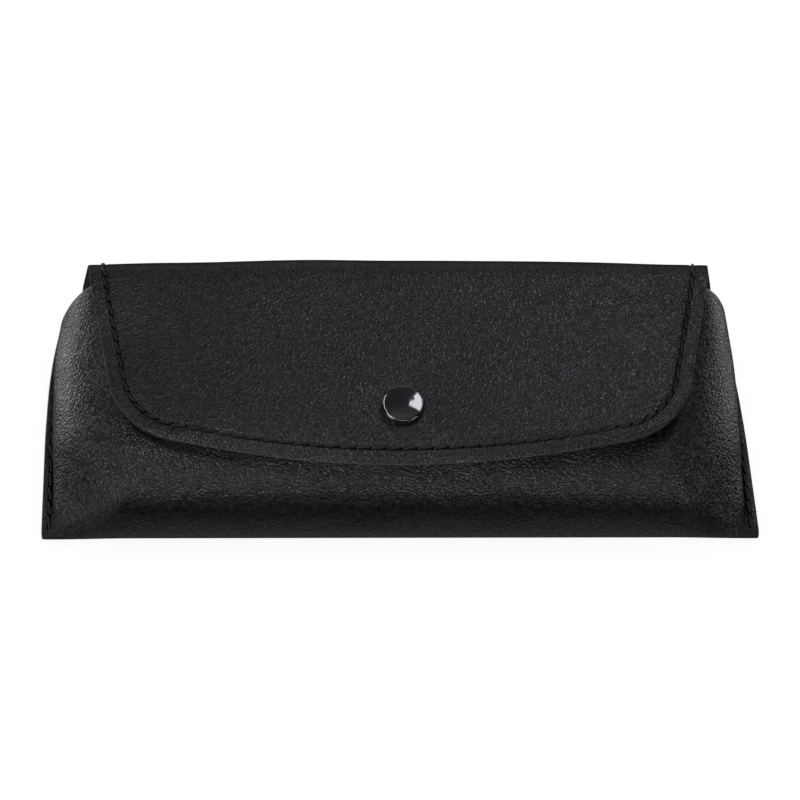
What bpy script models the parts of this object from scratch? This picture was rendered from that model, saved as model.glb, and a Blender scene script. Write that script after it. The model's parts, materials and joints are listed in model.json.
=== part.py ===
"""Soft pouch glasses case: a leather sheet folded at the bottom, closed by a flap and one snap.

Sizes are in millimetres and become metres in the scene. The case lies on its back: X runs across
it, Y from the bottom fold to the top fold, Z up from the table. The sheet is one piece of leather
from the flap's tip, over the top band, down the back, round the bottom and up the front. It is
split at its two bends, because each side of a bend belongs to another moving body. The pieces
that move hang on an empty that lies on their bend's axis.
"""

import math

import bmesh
import bpy
from mathutils import Vector

MM = 0.001

# Layers of the sheet, from the outside in.
LEATHER = 0.9
LAYER_GAP = 0.15
LINING = 0.4
BOARD = 0.5
LINING_DEPTH = LEATHER + LAYER_GAP
LINING_OVER_BOARD = LINING_DEPTH + BOARD + 0.2

# Boards: the one in the back, and how far the flap's board and lining stay inside its outline.
BACK_BOARD_HALF = 80.0
BACK_BOARD_TOP_Y = 17.0
BACK_BOARD_BOTTOM_Y = -23.0
FLAP_BOARD_TOP_Y = 22.0
FLAP_BOARD_INSET = 6.0
FLAP_LINING_INSET = 0.3

# Side view: back on the table, front wall, top band and flap.
BOTTOM_Y = -32.0
TOP_Y = 32.5
FLANGE_THICK = 3.4
FRONT_Z = 23.4
FLAP_Z = 29.0
BACK_BEND_R = 6.0
FRONT_BEND_R = 6.5
BACK_BEND = (TOP_Y - BACK_BEND_R, BACK_BEND_R)
FRONT_BEND = (TOP_Y - FRONT_BEND_R, FLAP_Z - FRONT_BEND_R)
BEND_GAP_DEG = 2.0
BACK_SPLIT_DEG = -45
FRONT_SPLIT_DEG = 45
FOLD_R = 4.5
BACK_YS = (18.0, 8.0, -4.0, -16.0, -24.0)
UPPER_FOLD = ((-32.1, 9.0), (-31.4, 13.0), (-30.4, 15.6))

# Front wall from the fold to below the mouth: (y, z, flank width, flank roundness).
FRONT_ROWS = (
    (-28.9, 17.6, 16.0, 1.05),
    (-26.8, 19.2, 16.5, 1.2),
    (-22.5, 21.3, 17.5, 1.6),
    (-18.0, 22.8, 17.5, 1.9),
    (-15.2, FRONT_Z, 17.0, 2.0),
    (-6.0, FRONT_Z, 15.5, 2.2),
    (3.0, FRONT_Z, 14.0, 2.3),
    (11.0, FRONT_Z, 12.5, 2.4),
    (19.0, 23.2, 11.5, 2.4),
)
# The mouth: (y, z) at its middle and at the flange, flank width, flank roundness.
MOUTH_ROW = ((27.8, 22.4), (24.5, FLANGE_THICK), 11.0, 2.4)

# Front view: flanges, flank and flap outline.
FLANGE_WIDTH = 3.4
SEAM_INSET = 2.1
SEAM_LOW_Y = -30.6
SEAM_HIGH_Y = 23.6
SEAM_STEPS = 14
FLAP_STITCH_INSET = 3.6
FLAP_TIP_Y = -25.7
FLAP_TIP_R = 263.0
FLAP_CORNER_X = 49.65
FLAP_CORNER_R = 21.0
FLAP_SIDE_DEG = 12.0
FLAP_DROP = 2.4
FLAP_DROP_FROM_Y = -16.2
FLAP_ROOT_FLARE = 0.9
FLAP_THREAD_FLARE = 0.1

# The flap is trimmed from a wider sheet by an upright block.
TRIM_HALF = 82.0
TRIM_TOP_Y = 31.0
TRIM_FROM_Z = 15.0
TRIM_HEIGHT = 20.0

# Half-width of the back and flanges at heights Y, and on up the band to the flap.
HALF_WIDTHS = ((-32.0, 87.5), (0.0, 87.0), (18.0, 85.6), (24.5, 84.6), (28.0, 82.7), (30.8, 80.8))
BAND_LOW_HALF = 80.7
BAND_HIGH_HALF = 77.2

# Snap, on a vertical axis.
SNAP_Y = -10.6
SNAP_HOLE_R = 1.7
SNAP_PIN_LENGTH = 6.0
CAP_R = 5.0
WIRE_R = 0.27
WIRE_X = 1.93
WIRE_Z = FLAP_Z - 4.05
WIRE_HALF = 2.2

THREAD_R = 0.25
THREAD_LIFT = 0.4

STEPS_ROUND = 28

MIDDLE_SHARES = (0.0, 0.2, 0.45, 0.72, 1.0)
FLANK_SHARES = (0.76, 0.52, 0.32, 0.16, 0.05, 0.0)
FLANGE_COLUMNS = 2


def lerp_table(table, at):
    """The value at this place in a table of (place, value), straight between its rows."""
    if at <= table[0][0]:
        return table[0][1]
    for (a, low), (b, high) in zip(table, table[1:]):
        if at <= b:
            return low + (high - low) * (at - a) / (b - a)
    return table[-1][1]


def on_arc(centre, radius, degrees):
    """The point (y, z) at this angle round an arc. Zero degrees is +Y and 90 is +Z."""
    angle = math.radians(degrees)
    return centre[0] + radius * math.cos(angle), centre[1] + radius * math.sin(angle)


def arc(centre, radius, start_deg, end_deg, steps):
    """Points on an arc, both ends included."""
    step_deg = (end_deg - start_deg) / steps
    return [on_arc(centre, radius, start_deg + step_deg * k) for k in range(steps + 1)]


def bend_half(centre, radius, split_deg, flat_deg):
    """Half of a bend, from the cut at its middle to where it is flat.

    A short first step keeps the cut face radial.
    """
    away = 1 if flat_deg > split_deg else -1
    cut_deg = split_deg + away * BEND_GAP_DEG
    return [on_arc(centre, radius, cut_deg)] + arc(centre, radius, cut_deg + away * 1.5, flat_deg, 3)


# The axes of the two bends, as (y, z).
BACK_AXIS = on_arc(BACK_BEND, BACK_BEND_R, BACK_SPLIT_DEG)
FRONT_AXIS = on_arc(FRONT_BEND, FRONT_BEND_R, FRONT_SPLIT_DEG)


# ---------------------------------------------------------------- scene helpers


def start_scene():
    for obj in list(bpy.data.objects):
        bpy.data.objects.remove(obj, do_unlink=True)
    collection = bpy.data.collections.new("glasses_case")
    bpy.context.scene.collection.children.link(collection)
    cutters = bpy.data.collections.new("cutters")
    bpy.context.scene.collection.children.link(cutters)
    cutters.hide_render = True
    return collection, cutters


PARTS, CUTTERS = start_scene()


def material(name, colour, roughness, metallic=0.0):
    made = bpy.data.materials.new(name)
    made.use_nodes = True
    shader = made.node_tree.nodes["Principled BSDF"]
    shader.inputs["Base Color"].default_value = (*colour, 1.0)
    shader.inputs["Roughness"].default_value = roughness
    shader.inputs["Metallic"].default_value = metallic
    made.diffuse_color = (*colour, 1.0)
    return made


def add_object(name, data, look):
    obj = bpy.data.objects.new(name, data)
    obj.data.materials.append(look)
    PARTS.objects.link(obj)
    return obj


def add_pivot(name, y, z):
    """An empty on the axis of a bend."""
    pivot = bpy.data.objects.new(name, None)
    pivot.empty_display_size = 10 * MM
    pivot.location = (0.0, y * MM, z * MM)
    PARTS.objects.link(pivot)
    return pivot


def hang(pivot, pieces):
    """Parent these pieces to the empty and leave them where they are."""
    bpy.context.view_layer.update()
    for piece in pieces:
        piece.parent = pivot
        piece.matrix_parent_inverse = pivot.matrix_world.inverted()


def cut(obj, cutter, operation="DIFFERENCE"):
    modifier = obj.modifiers.new(cutter.name, "BOOLEAN")
    modifier.operation = operation
    modifier.solver = "EXACT"
    modifier.object = cutter


# ---------------------------------------------------------------- sheets


def sheet(name, rows, depth, thickness, look):
    """One layer of sheet.

    rows[j][i] is the outside of the case at row j and column i, and depth(i, j) is how far in
    from there this layer starts.
    """
    bm = bmesh.new()
    across = len(rows[0]) - 1
    along = len(rows) - 1
    bmesh.ops.create_grid(bm, x_segments=across, y_segments=along, size=1.0)
    place = {}
    for vert in bm.verts:
        i = round((vert.co.x + 1) / 2 * across)
        j = round((vert.co.y + 1) / 2 * along)
        place[vert.index] = (i, j)
    for vert in bm.verts:
        i, j = place[vert.index]
        vert.co = Vector(rows[j][i]) * MM
    bm.normal_update()
    inward = {}
    for vert in bm.verts:
        shell = min(vert.calc_shell_factor(), 1.5)
        inward[vert.index] = vert.normal * shell * depth(*place[vert.index]) * MM
    for vert in bm.verts:
        vert.co -= inward[vert.index]
    mesh = bpy.data.meshes.new(name)
    bm.to_mesh(mesh)
    bm.free()
    obj = add_object(name, mesh, look)
    solid = obj.modifiers.new("thickness", "SOLIDIFY")
    solid.thickness = thickness * MM
    solid.offset = -1.0
    solid.use_even_offset = True
    solid.use_quality_normals = True
    return obj


def straight_rows(path, half_widths, columns):
    """Rows of a sheet that is straight across: path holds (y, z), half_widths the half-width at each."""
    rows = []
    for (y, z), half in zip(path, half_widths):
        row = []
        for k in range(columns + 1):
            row.append((half * (2 * k / columns - 1), y, z))
        rows.append(row)
    return rows


# ---------------------------------------------------------------- pouch


def side_view_rows():
    """Rows of the pouch from the back bend to the mouth.

    A row is (y, z) at the middle, (y, z) at the flange, flank width and flank roundness.
    """
    rows = []
    for y, z in bend_half(BACK_BEND, BACK_BEND_R, BACK_SPLIT_DEG, -90):
        rows.append(((y, z), (y, z), 12.0, 2.0))
    for y in BACK_YS:
        rows.append(((y, 0.0), (y, 0.0), 14.0, 2.0))
    flange_r = FLANGE_THICK / 2
    flange_fold = arc((BOTTOM_Y + flange_r, flange_r), flange_r, 270, 90, 6)
    middle_fold = arc((BOTTOM_Y + FOLD_R, FOLD_R), FOLD_R, 270, 180, 3) + list(UPPER_FOLD)
    for middle, flange in zip(middle_fold, flange_fold):
        rows.append((middle, flange, 16.0, 1.0))
    for y, z, flank, roundness in FRONT_ROWS:
        rows.append(((y, z), (y, FLANGE_THICK), flank, roundness))
    rows.append(MOUTH_ROW)
    return rows


POUCH_ROWS = side_view_rows()


def rise(share, roundness):
    """How much of its height the front has this share of the way in across the flank."""
    return (1 - (1 - min(share, 1.0)) ** roundness) ** (1 / roundness)


def pouch_row(middle, flange, flank, roundness):
    """Outside points of one row, from left to right."""
    half = lerp_table(HALF_WIDTHS, flange[0])
    foot = half - FLANGE_WIDTH
    crown = foot - flank
    across = []
    for share in MIDDLE_SHARES:
        across.append((crown * share, 1.0))
    for share in FLANK_SHARES:
        across.append((foot - flank * share, rise(share, roundness)))
    across.append((half, 0.0))
    right = []
    for x, up in across:
        y = flange[0] + (middle[0] - flange[0]) * up
        z = flange[1] + (middle[1] - flange[1]) * up
        right.append((x, y, z))
    left = [(-x, y, z) for x, y, z in reversed(right[1:])]
    return left + right


def pouch_lining_depth(i, j):
    """The lining lies deeper where the board is under it: inside the flanges, along the back."""
    last = 2 * (len(MIDDLE_SHARES) + len(FLANK_SHARES))
    inside_flanges = FLANGE_COLUMNS <= i <= last - FLANGE_COLUMNS
    y, z = POUCH_ROWS[j][0]
    on_back = z < BACK_BEND_R and y > BOTTOM_Y + FOLD_R
    return LINING_OVER_BOARD if inside_flanges and on_back else LINING_DEPTH


def thread(name, points, look):
    """A line of thread through these points, as a round wire with closed ends."""
    curve = bpy.data.curves.new(name, "CURVE")
    curve.dimensions = "3D"
    curve.bevel_depth = THREAD_R * MM
    curve.bevel_resolution = 1
    curve.use_fill_caps = True
    spline = curve.splines.new("POLY")
    spline.points.add(len(points) - 1)
    for point, place in zip(spline.points, points):
        point.co = (*(Vector(place) * MM), 1.0)
    return add_object(name, curve, look)


def round_bar(name, radius, length, segments):
    """The mesh of a bar along Z, centred on its origin."""
    bm = bmesh.new()
    bmesh.ops.create_cone(
        bm,
        cap_ends=True,
        segments=segments,
        radius1=radius * MM,
        radius2=radius * MM,
        depth=length * MM,
    )
    mesh = bpy.data.meshes.new(name)
    bm.to_mesh(mesh)
    bm.free()
    return mesh


def add_cutter(name, mesh):
    obj = bpy.data.objects.new(name, mesh)
    obj.display_type = "WIRE"
    obj.hide_render = True
    CUTTERS.objects.link(obj)
    return obj


def cutter_pin(name, wall_z):
    """An upright pin that cuts the snap's hole through the wall at this height."""
    obj = add_cutter(name, round_bar(name, SNAP_HOLE_R, SNAP_PIN_LENGTH, STEPS_ROUND))
    obj.location = (0.0, SNAP_Y * MM, (wall_z - LEATHER) * MM)
    return obj


def build_pouch(leather, suede, card, thread_look, front_pin):
    rows = [pouch_row(*row) for row in POUCH_ROWS]
    shell = sheet("pouch_shell", rows, lambda i, j: 0.0, LEATHER, leather)
    cut(shell, front_pin)
    lining = sheet("pouch_lining", rows, pouch_lining_depth, LINING, suede)
    cut(lining, front_pin)

    board_path = [(BACK_BOARD_TOP_Y, 0.0), (BACK_BOARD_BOTTOM_Y, 0.0)]
    board_rows = straight_rows(board_path, [BACK_BOARD_HALF] * 2, 1)
    sheet("back_board", board_rows, lambda i, j: LINING_DEPTH, BOARD, card)

    for side, name in ((-1, "seam_thread_left"), (1, "seam_thread_right")):
        points = []
        for k in range(SEAM_STEPS + 1):
            y = SEAM_LOW_Y + (SEAM_HIGH_Y - SEAM_LOW_Y) * k / SEAM_STEPS
            x = lerp_table(HALF_WIDTHS, y) - SEAM_INSET
            points.append((side * x, y, FLANGE_THICK + THREAD_LIFT))
        thread(name, points, thread_look)


# ---------------------------------------------------------------- top band


def band_path():
    """From the front bend down to the back bend, as (y, z)."""
    path = bend_half(FRONT_BEND, FRONT_BEND_R, FRONT_SPLIT_DEG, 0)
    path.append((TOP_Y, 14.0))
    path += reversed(bend_half(BACK_BEND, BACK_BEND_R, BACK_SPLIT_DEG, 0))
    return path


def band_half(z):
    """Half-width of the band, which narrows from the back bend to the front bend."""
    low_z = BACK_AXIS[1]
    high_z = FRONT_AXIS[1]
    share = (z - low_z) / (high_z - low_z)
    return BAND_LOW_HALF + (BAND_HIGH_HALF - BAND_LOW_HALF) * share


def outward(path, k):
    """The outward direction (y, z) of a path that runs from the flap to the front."""
    before = path[max(k - 1, 0)]
    after = path[min(k + 1, len(path) - 1)]
    along_y = after[0] - before[0]
    along_z = after[1] - before[1]
    length = math.hypot(along_y, along_z)
    return -along_z / length, along_y / length


def build_band(leather, suede, thread_look):
    path = band_path()
    halves = [band_half(z) for _, z in path]
    rows = straight_rows(path, halves, 8)
    pieces = [
        sheet("band_outer", rows, lambda i, j: 0.0, LEATHER, leather),
        sheet("band_lining", rows, lambda i, j: LINING_OVER_BOARD, LINING, suede),
    ]
    for side, name in ((-1, "band_thread_left"), (1, "band_thread_right")):
        points = []
        for k, (y, z) in enumerate(path):
            out_y, out_z = outward(path, k)
            x = side * (halves[k] - FLAP_STITCH_INSET)
            points.append((x, y + out_y * THREAD_LIFT, z + out_z * THREAD_LIFT))
        pieces.append(thread(name, points, thread_look))
    return pieces


# ---------------------------------------------------------------- flap


def flap_z(y):
    """Height of the flap's outside: flat over the snap, then dropping to the tip."""
    if y >= FLAP_DROP_FROM_Y:
        return FLAP_Z
    share = (FLAP_DROP_FROM_Y - y) / (FLAP_DROP_FROM_Y - FLAP_TIP_Y)
    return FLAP_Z - FLAP_DROP * share**2


def flap_half_outline(inset, corner_steps=8, tip_steps=5):
    """The right half of the flap's outline from its root to the middle of its tip, as (x, y)."""
    radius = FLAP_CORNER_R - inset
    tip_centre_y = FLAP_TIP_Y + FLAP_TIP_R
    between = FLAP_TIP_R - FLAP_CORNER_R
    corner_y = tip_centre_y - math.sqrt(between**2 - FLAP_CORNER_X**2)
    tip_deg = -math.degrees(math.acos(FLAP_CORNER_X / between))
    corner = arc((FLAP_CORNER_X, corner_y), radius, -FLAP_SIDE_DEG, tip_deg, corner_steps)
    root_y = FRONT_BEND[0]
    root_x = corner[0][0] + (root_y - corner[0][1]) * math.tan(math.radians(FLAP_SIDE_DEG))
    points = [(root_x + FLAP_ROOT_FLARE, TRIM_TOP_Y), (root_x, root_y)] + corner
    last_x = corner[-1][0]
    for k in range(1, tip_steps + 1):
        x = last_x * (1 - k / tip_steps)
        y = tip_centre_y - math.sqrt((FLAP_TIP_R - inset) ** 2 - x**2)
        points.append((x, y))
    return points


def outline_prism(name, outline):
    """An upright block with this outline, which trims a sheet to shape."""
    bm = bmesh.new()
    ring = [bm.verts.new((x * MM, y * MM, TRIM_FROM_Z * MM)) for x, y in outline]
    face = bm.faces.new(ring)
    raised = bmesh.ops.extrude_face_region(bm, geom=[face])["geom"]
    tops = [item for item in raised if isinstance(item, bmesh.types.BMVert)]
    bmesh.ops.translate(bm, verts=tops, vec=(0.0, 0.0, TRIM_HEIGHT * MM))
    bmesh.ops.recalc_face_normals(bm, faces=bm.faces)
    mesh = bpy.data.meshes.new(name)
    bm.to_mesh(mesh)
    bm.free()
    return add_cutter(name, mesh)


def whole_outline(inset):
    right = flap_half_outline(inset)
    left = [(-x, y) for x, y in reversed(right[:-1])]
    return right + left


def flap_path():
    """From beyond the tip to the front bend, as (y, z)."""
    path = [(y, flap_z(y)) for y in (-26.5, -24.0, -21.5, -19.0, FLAP_DROP_FROM_Y)]
    path.append((4.0, FLAP_Z))
    path += reversed(bend_half(FRONT_BEND, FRONT_BEND_R, FRONT_SPLIT_DEG, 90))
    return path


def flap_thread_points():
    """The flap's stitch line: from the front bend down one side, along the tip and back up."""
    outline = flap_half_outline(FLAP_STITCH_INSET)
    root_x, root_y = outline[1]
    lift_share = THREAD_LIFT / FRONT_BEND_R
    right = []
    for y, z in bend_half(FRONT_BEND, FRONT_BEND_R, FRONT_SPLIT_DEG, 90):
        x = root_x + FLAP_THREAD_FLARE * (y - root_y)
        out_y = (y - FRONT_BEND[0]) * lift_share
        out_z = (z - FRONT_BEND[1]) * lift_share
        right.append((x, y + out_y, z + out_z))
    for x, y in outline[2:]:
        right.append((x, y, flap_z(y) + THREAD_LIFT))
    left = [(-x, y, z) for x, y, z in reversed(right[:-1])]
    return right + left


def build_flap(leather, suede, card, thread_look, flap_pin):
    path = flap_path()
    rows = straight_rows(path, [TRIM_HALF] * len(path), 4)
    outer = sheet("flap_outer", rows, lambda i, j: 0.0, LEATHER, leather)
    lining = sheet("flap_lining", rows, lambda i, j: LINING_OVER_BOARD, LINING, suede)
    board_path = [(y, z) for y, z in path if y < FLAP_BOARD_TOP_Y]
    board_path.append((FLAP_BOARD_TOP_Y, FLAP_Z))
    board_rows = straight_rows(board_path, [TRIM_HALF] * len(board_path), 4)
    board = sheet("flap_board", board_rows, lambda i, j: LINING_DEPTH, BOARD, card)
    for obj, inset in ((outer, 0.0), (lining, FLAP_LINING_INSET), (board, FLAP_BOARD_INSET)):
        cut(obj, outline_prism(f"{obj.name}_outline", whole_outline(inset)), "INTERSECT")
        cut(obj, flap_pin)
    return [outer, lining, board, thread("flap_thread", flap_thread_points(), thread_look)]


# ---------------------------------------------------------------- snap


def turned(name, profile, look, steps=STEPS_ROUND):
    """A round piece on the snap's axis.

    profile holds (radius, height above the flap's face), running down its outer side.
    """
    mesh = bpy.data.meshes.new(name)
    verts = [(radius * MM, 0.0, height * MM) for radius, height in profile]
    edges = [(k, k + 1) for k in range(len(profile) - 1)]
    if profile[0][0] > 0 and profile[-1][0] > 0:
        edges.append((len(profile) - 1, 0))
    mesh.from_pydata(verts, edges, [])
    obj = add_object(name, mesh, look)
    obj.location = (0.0, SNAP_Y * MM, FLAP_Z * MM)
    screw = obj.modifiers.new("turn", "SCREW")
    screw.axis = "Z"
    screw.steps = steps
    screw.render_steps = steps
    screw.use_merge_vertices = True
    screw.merge_threshold = 0.00001
    screw.use_smooth_shade = True
    return obj


def build_cap(enamel):
    return turned(
        "snap_cap",
        (
            (0.0, 2.15),
            (1.6, 2.08),
            (3.1, 1.78),
            (4.2, 1.3),
            (4.75, 0.95),
            (CAP_R, 0.6),
            (4.95, 0.3),
            (4.7, 0.15),
            (1.3, 0.15),
            (1.3, -2.9),
            (2.1, -2.9),
            (2.1, -3.05),
            (0.0, -3.05),
        ),
        enamel,
    )


def build_socket(steel):
    return turned(
        "snap_socket",
        (
            (4.2, -2.35),
            (4.55, -2.6),
            (4.7, -3.0),
            (4.7, -4.1),
            (4.5, -4.55),
            (4.1, -4.75),
            (2.3, -4.75),
            (2.3, -4.45),
            (3.7, -4.45),
            (3.7, -3.65),
            (2.5, -3.65),
            (2.5, -2.8),
            (1.7, -2.8),
            (1.7, -2.35),
        ),
        steel,
    )


def build_stud(steel):
    turned(
        "snap_stud",
        (
            (0.0, -3.3),
            (1.2, -3.32),
            (1.75, -3.45),
            (1.93, -3.6),
            (1.5, -4.05),
            (1.5, -4.8),
            (1.8, -5.0),
            (3.8, -5.0),
            (4.0, -5.2),
            (4.0, -5.4),
            (1.3, -5.4),
            (1.3, -4.15),
            (0.0, -4.15),
        ),
        steel,
    )
    turned(
        "stud_rivet",
        (
            (0.0, -4.4),
            (0.9, -4.4),
            (1.0, -4.6),
            (1.0, -7.25),
            (3.8, -7.25),
            (4.0, -7.4),
            (3.9, -7.6),
            (3.2, -7.7),
            (0.0, -7.7),
        ),
        steel,
        20,
    )


def build_wires(steel):
    """Two spring wires in the socket, one either side of the stud's neck.

    Each has its origin at its middle.
    """
    wires = []
    for side, name in ((-1, "socket_wire_left"), (1, "socket_wire_right")):
        wire = add_object(name, round_bar(name, WIRE_R, 2 * WIRE_HALF, 10), steel)
        wire.rotation_euler = (math.pi / 2, 0.0, 0.0)
        wire.location = (side * WIRE_X * MM, SNAP_Y * MM, WIRE_Z * MM)
        wires.append(wire)
    return wires


# ---------------------------------------------------------------- assembly


def build():
    leather = material("black_leather", (0.026, 0.024, 0.028), 0.5)
    suede = material("grey_lining", (0.05, 0.048, 0.05), 0.9)
    card = material("board", (0.30, 0.24, 0.17), 0.9)
    thread_look = material("black_thread", (0.012, 0.011, 0.012), 0.6)
    enamel = material("black_enamel", (0.012, 0.012, 0.013), 0.15)
    steel = material("nickel_steel", (0.55, 0.55, 0.55), 0.3, 1.0)

    front_pin = cutter_pin("front_pin", FRONT_Z)
    flap_pin = cutter_pin("flap_pin", FLAP_Z)

    build_pouch(leather, suede, card, thread_look, front_pin)
    build_stud(steel)
    band = build_band(leather, suede, thread_look)
    flap = build_flap(leather, suede, card, thread_look, flap_pin)
    flap += [build_cap(enamel), build_socket(steel)] + build_wires(steel)

    back_bend = add_pivot("back_bend_axis", *BACK_AXIS)
    front_bend = add_pivot("front_bend_axis", *FRONT_AXIS)
    hang(front_bend, flap)
    hang(back_bend, band + [front_bend])


build()
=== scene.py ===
"""Looks of the soft pouch glasses case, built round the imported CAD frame.

Lengths in this script are in millimetres and become metres in the scene. One sheet of leather runs
from the flap's tip over the top band, down the back, round the bottom and up the front. Every layer
under it is the same surface moved inward, so layers never cut through each other.
"""

import json
import math
import random

import bmesh
import bpy
import numpy as np
from mathutils import Matrix, Vector


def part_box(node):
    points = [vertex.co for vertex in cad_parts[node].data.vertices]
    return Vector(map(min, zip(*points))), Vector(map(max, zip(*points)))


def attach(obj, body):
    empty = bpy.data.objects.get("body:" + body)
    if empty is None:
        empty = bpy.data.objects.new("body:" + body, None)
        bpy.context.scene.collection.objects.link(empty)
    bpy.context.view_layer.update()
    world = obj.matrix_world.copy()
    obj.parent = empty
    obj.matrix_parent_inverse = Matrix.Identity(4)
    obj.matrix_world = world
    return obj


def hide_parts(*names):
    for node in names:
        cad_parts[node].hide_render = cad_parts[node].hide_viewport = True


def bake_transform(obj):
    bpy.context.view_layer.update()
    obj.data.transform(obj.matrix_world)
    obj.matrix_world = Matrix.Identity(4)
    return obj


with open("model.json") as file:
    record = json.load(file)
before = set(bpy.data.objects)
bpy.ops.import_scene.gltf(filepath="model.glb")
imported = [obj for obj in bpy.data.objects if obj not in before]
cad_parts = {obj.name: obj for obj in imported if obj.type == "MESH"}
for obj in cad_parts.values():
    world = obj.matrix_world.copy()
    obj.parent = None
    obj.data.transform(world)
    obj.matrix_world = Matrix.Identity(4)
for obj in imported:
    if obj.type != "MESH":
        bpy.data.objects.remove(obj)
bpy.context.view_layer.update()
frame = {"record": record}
MM = 0.001


def corners(node):
    """The lowest and highest corners of a CAD node, in millimetres."""
    low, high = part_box(node)
    return np.array(low) / MM, np.array(high) / MM


# ---- sizes, from the CAD frame

JOINTS = {joint["name"]: joint for joint in frame["record"]["behaviour"]["joints"]}
BACK_PIVOT = np.array(JOINTS["back_bend"]["pos_m"][1:]) / MM
FRONT_PIVOT = np.array(JOINTS["front_bend"]["pos_m"][1:]) / MM
FLAP_LOW, FLAP_HIGH = corners("flap_outer")
CAP_LOW, CAP_HIGH = corners("snap_cap")

# Thicknesses of the sheet's layers and their depths below its outside. The lining lies deeper beside a board.
LEATHER = 0.9
LINING_DEPTH = 1.05
LINING = 0.4
BOARD = 0.5
DEEP_LINING = 1.75

BOTTOM_Y = -32.0
TOP_Y = corners("band_outer")[1][1]
FLAP_Z = FLAP_HIGH[2]
BACK_R = 6.0
FRONT_R = 6.5
SIN45 = math.sin(math.radians(45))
BACK_CENTRE = (BACK_PIVOT[0] - BACK_R * SIN45, BACK_PIVOT[1] + BACK_R * SIN45)
FRONT_CENTRE = (FRONT_PIVOT[0] - FRONT_R * SIN45, FRONT_PIVOT[1] - FRONT_R * SIN45)
FRONT_Z = 23.4
FLANGE_THICK = 3.4
FLANGE_WIDTH = 2.3
FLAP_TIP_Y = FLAP_LOW[1]
SNAP_Y = (CAP_LOW[1] + CAP_HIGH[1]) / 2
SPLIT_Y = -20.0
MID_BAND_Z = 14.5

FLAP_STITCH_INSET = 3.7
SEAM_STITCH_INSET = 1.75
STITCH_PITCH = 3.65
STITCH_GAP = 0.25
STITCH_LIFT = 0.05
STITCH_SINK = 0.42
STITCH_TILT = 0.44
THREAD_R = 0.34
# Radius of the painted shade in the stitch holes.
HOLE_SHADE_R = 0.42
# The visible flap stops this far short of the CAD flap's tip.
CUT_BACK = 0.45
RIM_R = 0.32
LINING_INSET = 0.3
# A distance that counts as far from every cut edge, and one that counts as far from every stitch.
FAR = 30.0
NO_SEAM = 9.0

# ---- small maths


def spline(table, at):
    """Smooth values at these places of a table whose rows are (place, value, value, ...)."""
    table = np.array(table, float)
    at = np.clip(np.asarray(at, float), table[0, 0], table[-1, 0])
    k = np.clip(np.searchsorted(table[:, 0], at, side="right") - 1, 0, len(table) - 2)
    slope = np.gradient(table[:, 1:], table[:, 0], axis=0)
    span = (table[k + 1, 0] - table[k, 0])[..., None]
    t = ((at - table[k, 0])[..., None]) / span
    a, b = table[k, 1:], table[k + 1, 1:]
    da, db = slope[k] * span, slope[k + 1] * span
    near = a * (2 * t**3 - 3 * t**2 + 1) + da * (t**3 - 2 * t**2 + t)
    return near + b * (3 * t**2 - 2 * t**3) + db * (t**3 - t**2)


def smoothstep(low, high, value):
    t = np.clip((np.asarray(value, float) - low) / (high - low), 0, 1)
    return t * t * (3 - 2 * t)


def unit(vectors):
    return vectors / np.maximum(np.linalg.norm(vectors, axis=-1, keepdims=True), 1e-12)


def run_along(points):
    """Distance along a line of points, from its first."""
    return np.concatenate([[0], np.cumsum(np.linalg.norm(np.diff(points, axis=0), axis=1))])


def interpolated(at, length, points):
    """Places at these distances along a line of points."""
    return np.stack([np.interp(at, length, column) for column in points.T], -1)


def mirrored(line):
    """A line on the right half, ending in the middle, carried on by its mirror image on the left half."""
    return np.concatenate([line, (line[:-1] * [-1, 1])[::-1]])


class Ripple:
    """Smooth, repeatable unevenness: a few sine waves in fixed random directions."""

    WAVES = 9

    def __init__(self, seed, wavelength):
        chance = random.Random(seed)
        self.waves = []
        for _ in range(self.WAVES):
            angle = chance.uniform(0, 2 * math.pi)
            length = wavelength * chance.uniform(0.7, 1.6)
            phase = chance.uniform(0, 2 * math.pi)
            self.waves.append((math.cos(angle) / length, math.sin(angle) / length, phase))

    def at(self, a, b):
        total = 0.0
        for ka, kb, phase in self.waves:
            total = total + np.sin(2 * math.pi * (ka * a + kb * b) + phase)
        return total / math.sqrt(len(self.waves))


# ---- the strip: flap, top band and back


PATH_STEP = 0.25
PATH_DEG = 1.5
# The flap leans a little to one side, and its tip end drops towards the front.
FLAP_LEAN = -0.36
FLAP_DROP_FROM_Y = -16.2
FLAP_DROP = 2.4
# Heights that tell the back from the front on the path.
BACK_BELOW_Z = 5
FRONT_ABOVE_Z = 20


def flap_z(y):
    share = max(0.0, (FLAP_DROP_FROM_Y - y) / (FLAP_DROP_FROM_Y - FLAP_TIP_Y))
    return FLAP_Z - FLAP_DROP * share**2


def arc(centre, radius, low, high):
    """Points (y, z) of an arc between two angles in degrees."""
    angles = [math.radians(degrees) for degrees in np.arange(low, high, PATH_DEG)]
    return [(centre[0] + radius * math.cos(a), centre[1] + radius * math.sin(a)) for a in angles]


def strip_path():
    """Dense points (y, z) of the sheet's outside, from before SPLIT_Y on the back to past the flap's tip."""
    points = [(y, 0.0) for y in np.arange(SPLIT_Y - 2, BACK_CENTRE[0], PATH_STEP)]
    points += arc(BACK_CENTRE, BACK_R, -90, 0)
    points += [(TOP_Y, z) for z in np.arange(BACK_CENTRE[1], FRONT_CENTRE[1], PATH_STEP)]
    points += arc(FRONT_CENTRE, FRONT_R, 0, 90)
    points += [(y, flap_z(y)) for y in np.arange(FRONT_CENTRE[0], FLAP_TIP_Y - 3, -PATH_STEP)]
    return np.array(points)


PATH = strip_path()
PATH_Y, PATH_Z = PATH.T


def s_where(away):
    """The place s along the sheet where this distance, one for each point of the path, is least."""
    return float(PATH_S[int(np.argmin(away))])


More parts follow.
